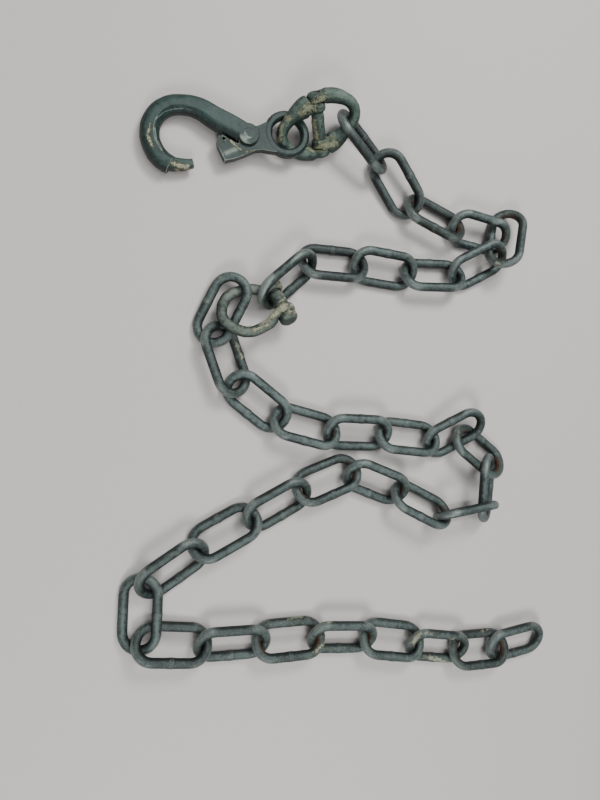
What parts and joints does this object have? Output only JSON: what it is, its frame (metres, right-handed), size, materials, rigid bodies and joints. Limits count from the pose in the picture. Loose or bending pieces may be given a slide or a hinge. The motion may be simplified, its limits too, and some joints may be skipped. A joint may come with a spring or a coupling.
{
  "type": "steel lifting chain with safety hook",
  "caption": "Long-link steel chain laid in a zigzag on the floor, with a safety eye hook on a coupling link at one end and a bow shackle let into it near that end.",
  "frame": {"origin": "middle of the box the chain fills, at the floor it lies on", "axes": "+Z up from the floor; +X to the right of the picture and +Y up it, so the hook lies at the -X, +Y corner"},
  "size_m": [0.554, 0.6902, 0.0563],
  "materials": {
    "weathered_chain_steel": "dull grey-green weathered steel with brown rust in the crowns and pale dirt on the last links",
    "worn_green_hook_paint": "old dark blue-green paint, worn, with pale dirt on the nose and the inner bend",
    "coupling_green_with_clay": "old green paint under dried pale dirt",
    "shackle_steel_with_clay": "dull steel mostly under dried cream-coloured dirt"
  },
  "bodies": {
    "chain": {"link_01": "weathered_chain_steel", "link_02": "weathered_chain_steel", "link_03": "weathered_chain_steel", "link_04": "weathered_chain_steel", "link_05": "weathered_chain_steel", "link_06": "weathered_chain_steel", "link_07": "weathered_chain_steel", "link_08": "weathered_chain_steel", "link_09": "weathered_chain_steel", "link_10": "weathered_chain_steel", "link_11": "weathered_chain_steel", "link_12": "weathered_chain_steel", "link_13": "weathered_chain_steel", "link_14": "weathered_chain_steel", "link_15": "weathered_chain_steel", "link_16": "weathered_chain_steel", "link_17": "weathered_chain_steel", "link_18": "weathered_chain_steel", "link_19": "weathered_chain_steel", "link_20": "weathered_chain_steel", "link_21": "weathered_chain_steel", "link_22": "weathered_chain_steel", "link_23": "weathered_chain_steel", "link_24": "weathered_chain_steel", "link_25": "weathered_chain_steel", "link_26": "weathered_chain_steel", "link_27": "weathered_chain_steel", "link_28": "weathered_chain_steel", "link_29": "weathered_chain_steel", "link_30": "weathered_chain_steel", "link_31": "weathered_chain_steel", "link_32": "weathered_chain_steel", "link_33": "weathered_chain_steel", "link_34": "weathered_chain_steel", "link_35": "weathered_chain_steel", "hook_eye_piece": "worn_green_hook_paint", "hook_rivet": "worn_green_hook_paint", "coupling_half_right": "coupling_green_with_clay", "coupling_half_left": "coupling_green_with_clay", "coupling_load_pin": "coupling_green_with_clay", "coupling_bush": "coupling_green_with_clay", "shackle_bow": "shackle_steel_with_clay", "shackle_bolt": "shackle_steel_with_clay"},
    "hook": {"hook_body": "worn_green_hook_paint"}
  },
  "joints": [
    {"name": "hook_swing", "type": "hinge", "parent": "chain", "child": "hook", "pos_m": [-0.15321, 0.29066, 0.01653], "axis": [-0.0576, 0, 0.9983], "range_deg": [-30, 5]}
  ]
}
